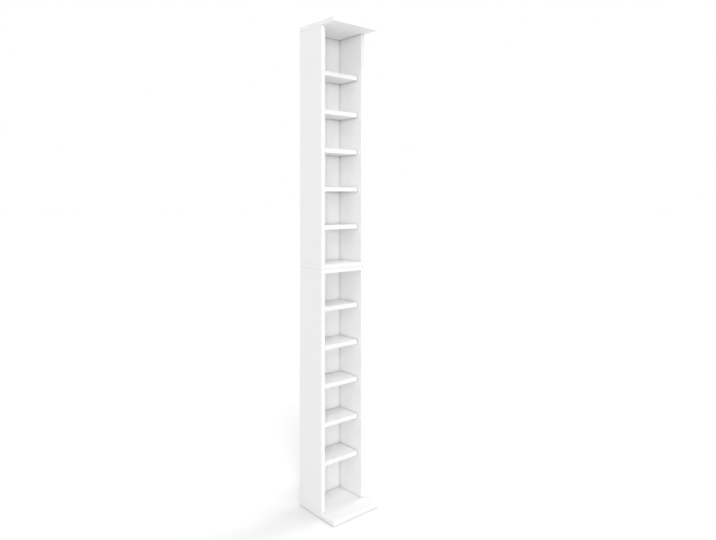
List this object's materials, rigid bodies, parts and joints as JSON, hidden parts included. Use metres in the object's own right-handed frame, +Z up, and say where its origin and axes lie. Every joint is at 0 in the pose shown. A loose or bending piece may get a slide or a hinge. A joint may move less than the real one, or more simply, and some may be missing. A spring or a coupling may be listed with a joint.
{
  "type": "disc storage tower",
  "caption": "Tall narrow open tower for discs in white board: stacked shelf units with set-back loose shelves, between a top and a bottom plate that stand out in front.",
  "frame": {"origin": "middle of the base, on the floor", "axes": "+Z up, -Y the open front, +X to the right as seen from the front"},
  "size_m": [0.232, 0.232, 2.03],
  "materials": {
    "white_board": "chipboard with a white melamine face and edging, satin",
    "back_hardboard": "thin hardboard lacquered white, satin",
    "steel": "zinc-plated steel"
  },
  "bodies": {
    "carcass": {"top_plate": "white_board", "bottom_plate": "white_board", "upper_left_side": "white_board", "upper_right_side": "white_board", "lower_left_side": "white_board", "lower_right_side": "white_board", "upper_middle_board": "white_board", "lower_middle_board": "white_board", "upper_back_panel": "back_hardboard", "lower_back_panel": "back_hardboard", "upper_shelf_1_left_wire": "steel", "upper_shelf_1_right_wire": "steel", "upper_shelf_2_left_wire": "steel", "upper_shelf_2_right_wire": "steel", "upper_shelf_3_left_wire": "steel", "upper_shelf_3_right_wire": "steel", "upper_shelf_4_left_wire": "steel", "upper_shelf_4_right_wire": "steel", "upper_shelf_5_left_wire": "steel", "upper_shelf_5_right_wire": "steel", "lower_shelf_1_left_wire": "steel", "lower_shelf_1_right_wire": "steel", "lower_shelf_2_left_wire": "steel", "lower_shelf_2_right_wire": "steel", "lower_shelf_3_left_wire": "steel", "lower_shelf_3_right_wire": "steel", "lower_shelf_4_left_wire": "steel", "lower_shelf_4_right_wire": "steel", "lower_shelf_5_left_wire": "steel", "lower_shelf_5_right_wire": "steel", "top_plate_screw_1": "steel", "top_plate_screw_2": "steel", "top_plate_screw_3": "steel", "top_plate_screw_4": "steel", "upper_middle_screw_1": "steel", "upper_middle_screw_2": "steel", "upper_middle_screw_3": "steel", "upper_middle_screw_4": "steel", "lower_middle_screw_1": "steel", "lower_middle_screw_2": "steel", "lower_middle_screw_3": "steel", "lower_middle_screw_4": "steel", "bottom_plate_screw_1": "steel", "bottom_plate_screw_2": "steel", "bottom_plate_screw_3": "steel", "bottom_plate_screw_4": "steel", "left_connector_sleeve": "steel", "left_connector_bolt": "steel", "right_connector_sleeve": "steel", "right_connector_bolt": "steel"},
    "upper_shelf_1": {"upper_shelf_1": "white_board"},
    "upper_shelf_2": {"upper_shelf_2": "white_board"},
    "upper_shelf_3": {"upper_shelf_3": "white_board"},
    "upper_shelf_4": {"upper_shelf_4": "white_board"},
    "upper_shelf_5": {"upper_shelf_5": "white_board"},
    "lower_shelf_1": {"lower_shelf_1": "white_board"},
    "lower_shelf_2": {"lower_shelf_2": "white_board"},
    "lower_shelf_3": {"lower_shelf_3": "white_board"},
    "lower_shelf_4": {"lower_shelf_4": "white_board"},
    "lower_shelf_5": {"lower_shelf_5": "white_board"}
  },
  "joints": [
    {"name": "upper_shelf_1_slide", "type": "slide", "parent": "carcass", "child": "upper_shelf_1", "axis": [0, -1, 0], "range_m": [0, 0.143]},
    {"name": "upper_shelf_2_slide", "type": "slide", "parent": "carcass", "child": "upper_shelf_2", "axis": [0, -1, 0], "range_m": [0, 0.143]},
    {"name": "upper_shelf_3_slide", "type": "slide", "parent": "carcass", "child": "upper_shelf_3", "axis": [0, -1, 0], "range_m": [0, 0.143]},
    {"name": "upper_shelf_4_slide", "type": "slide", "parent": "carcass", "child": "upper_shelf_4", "axis": [0, -1, 0], "range_m": [0, 0.143]},
    {"name": "upper_shelf_5_slide", "type": "slide", "parent": "carcass", "child": "upper_shelf_5", "axis": [0, -1, 0], "range_m": [0, 0.143]},
    {"name": "lower_shelf_1_slide", "type": "slide", "parent": "carcass", "child": "lower_shelf_1", "axis": [0, -1, 0], "range_m": [0, 0.143]},
    {"name": "lower_shelf_2_slide", "type": "slide", "parent": "carcass", "child": "lower_shelf_2", "axis": [0, -1, 0], "range_m": [0, 0.143]},
    {"name": "lower_shelf_3_slide", "type": "slide", "parent": "carcass", "child": "lower_shelf_3", "axis": [0, -1, 0], "range_m": [0, 0.143]},
    {"name": "lower_shelf_4_slide", "type": "slide", "parent": "carcass", "child": "lower_shelf_4", "axis": [0, -1, 0], "range_m": [0, 0.143]},
    {"name": "lower_shelf_5_slide", "type": "slide", "parent": "carcass", "child": "lower_shelf_5", "axis": [0, -1, 0], "range_m": [0, 0.143]}
  ]
}
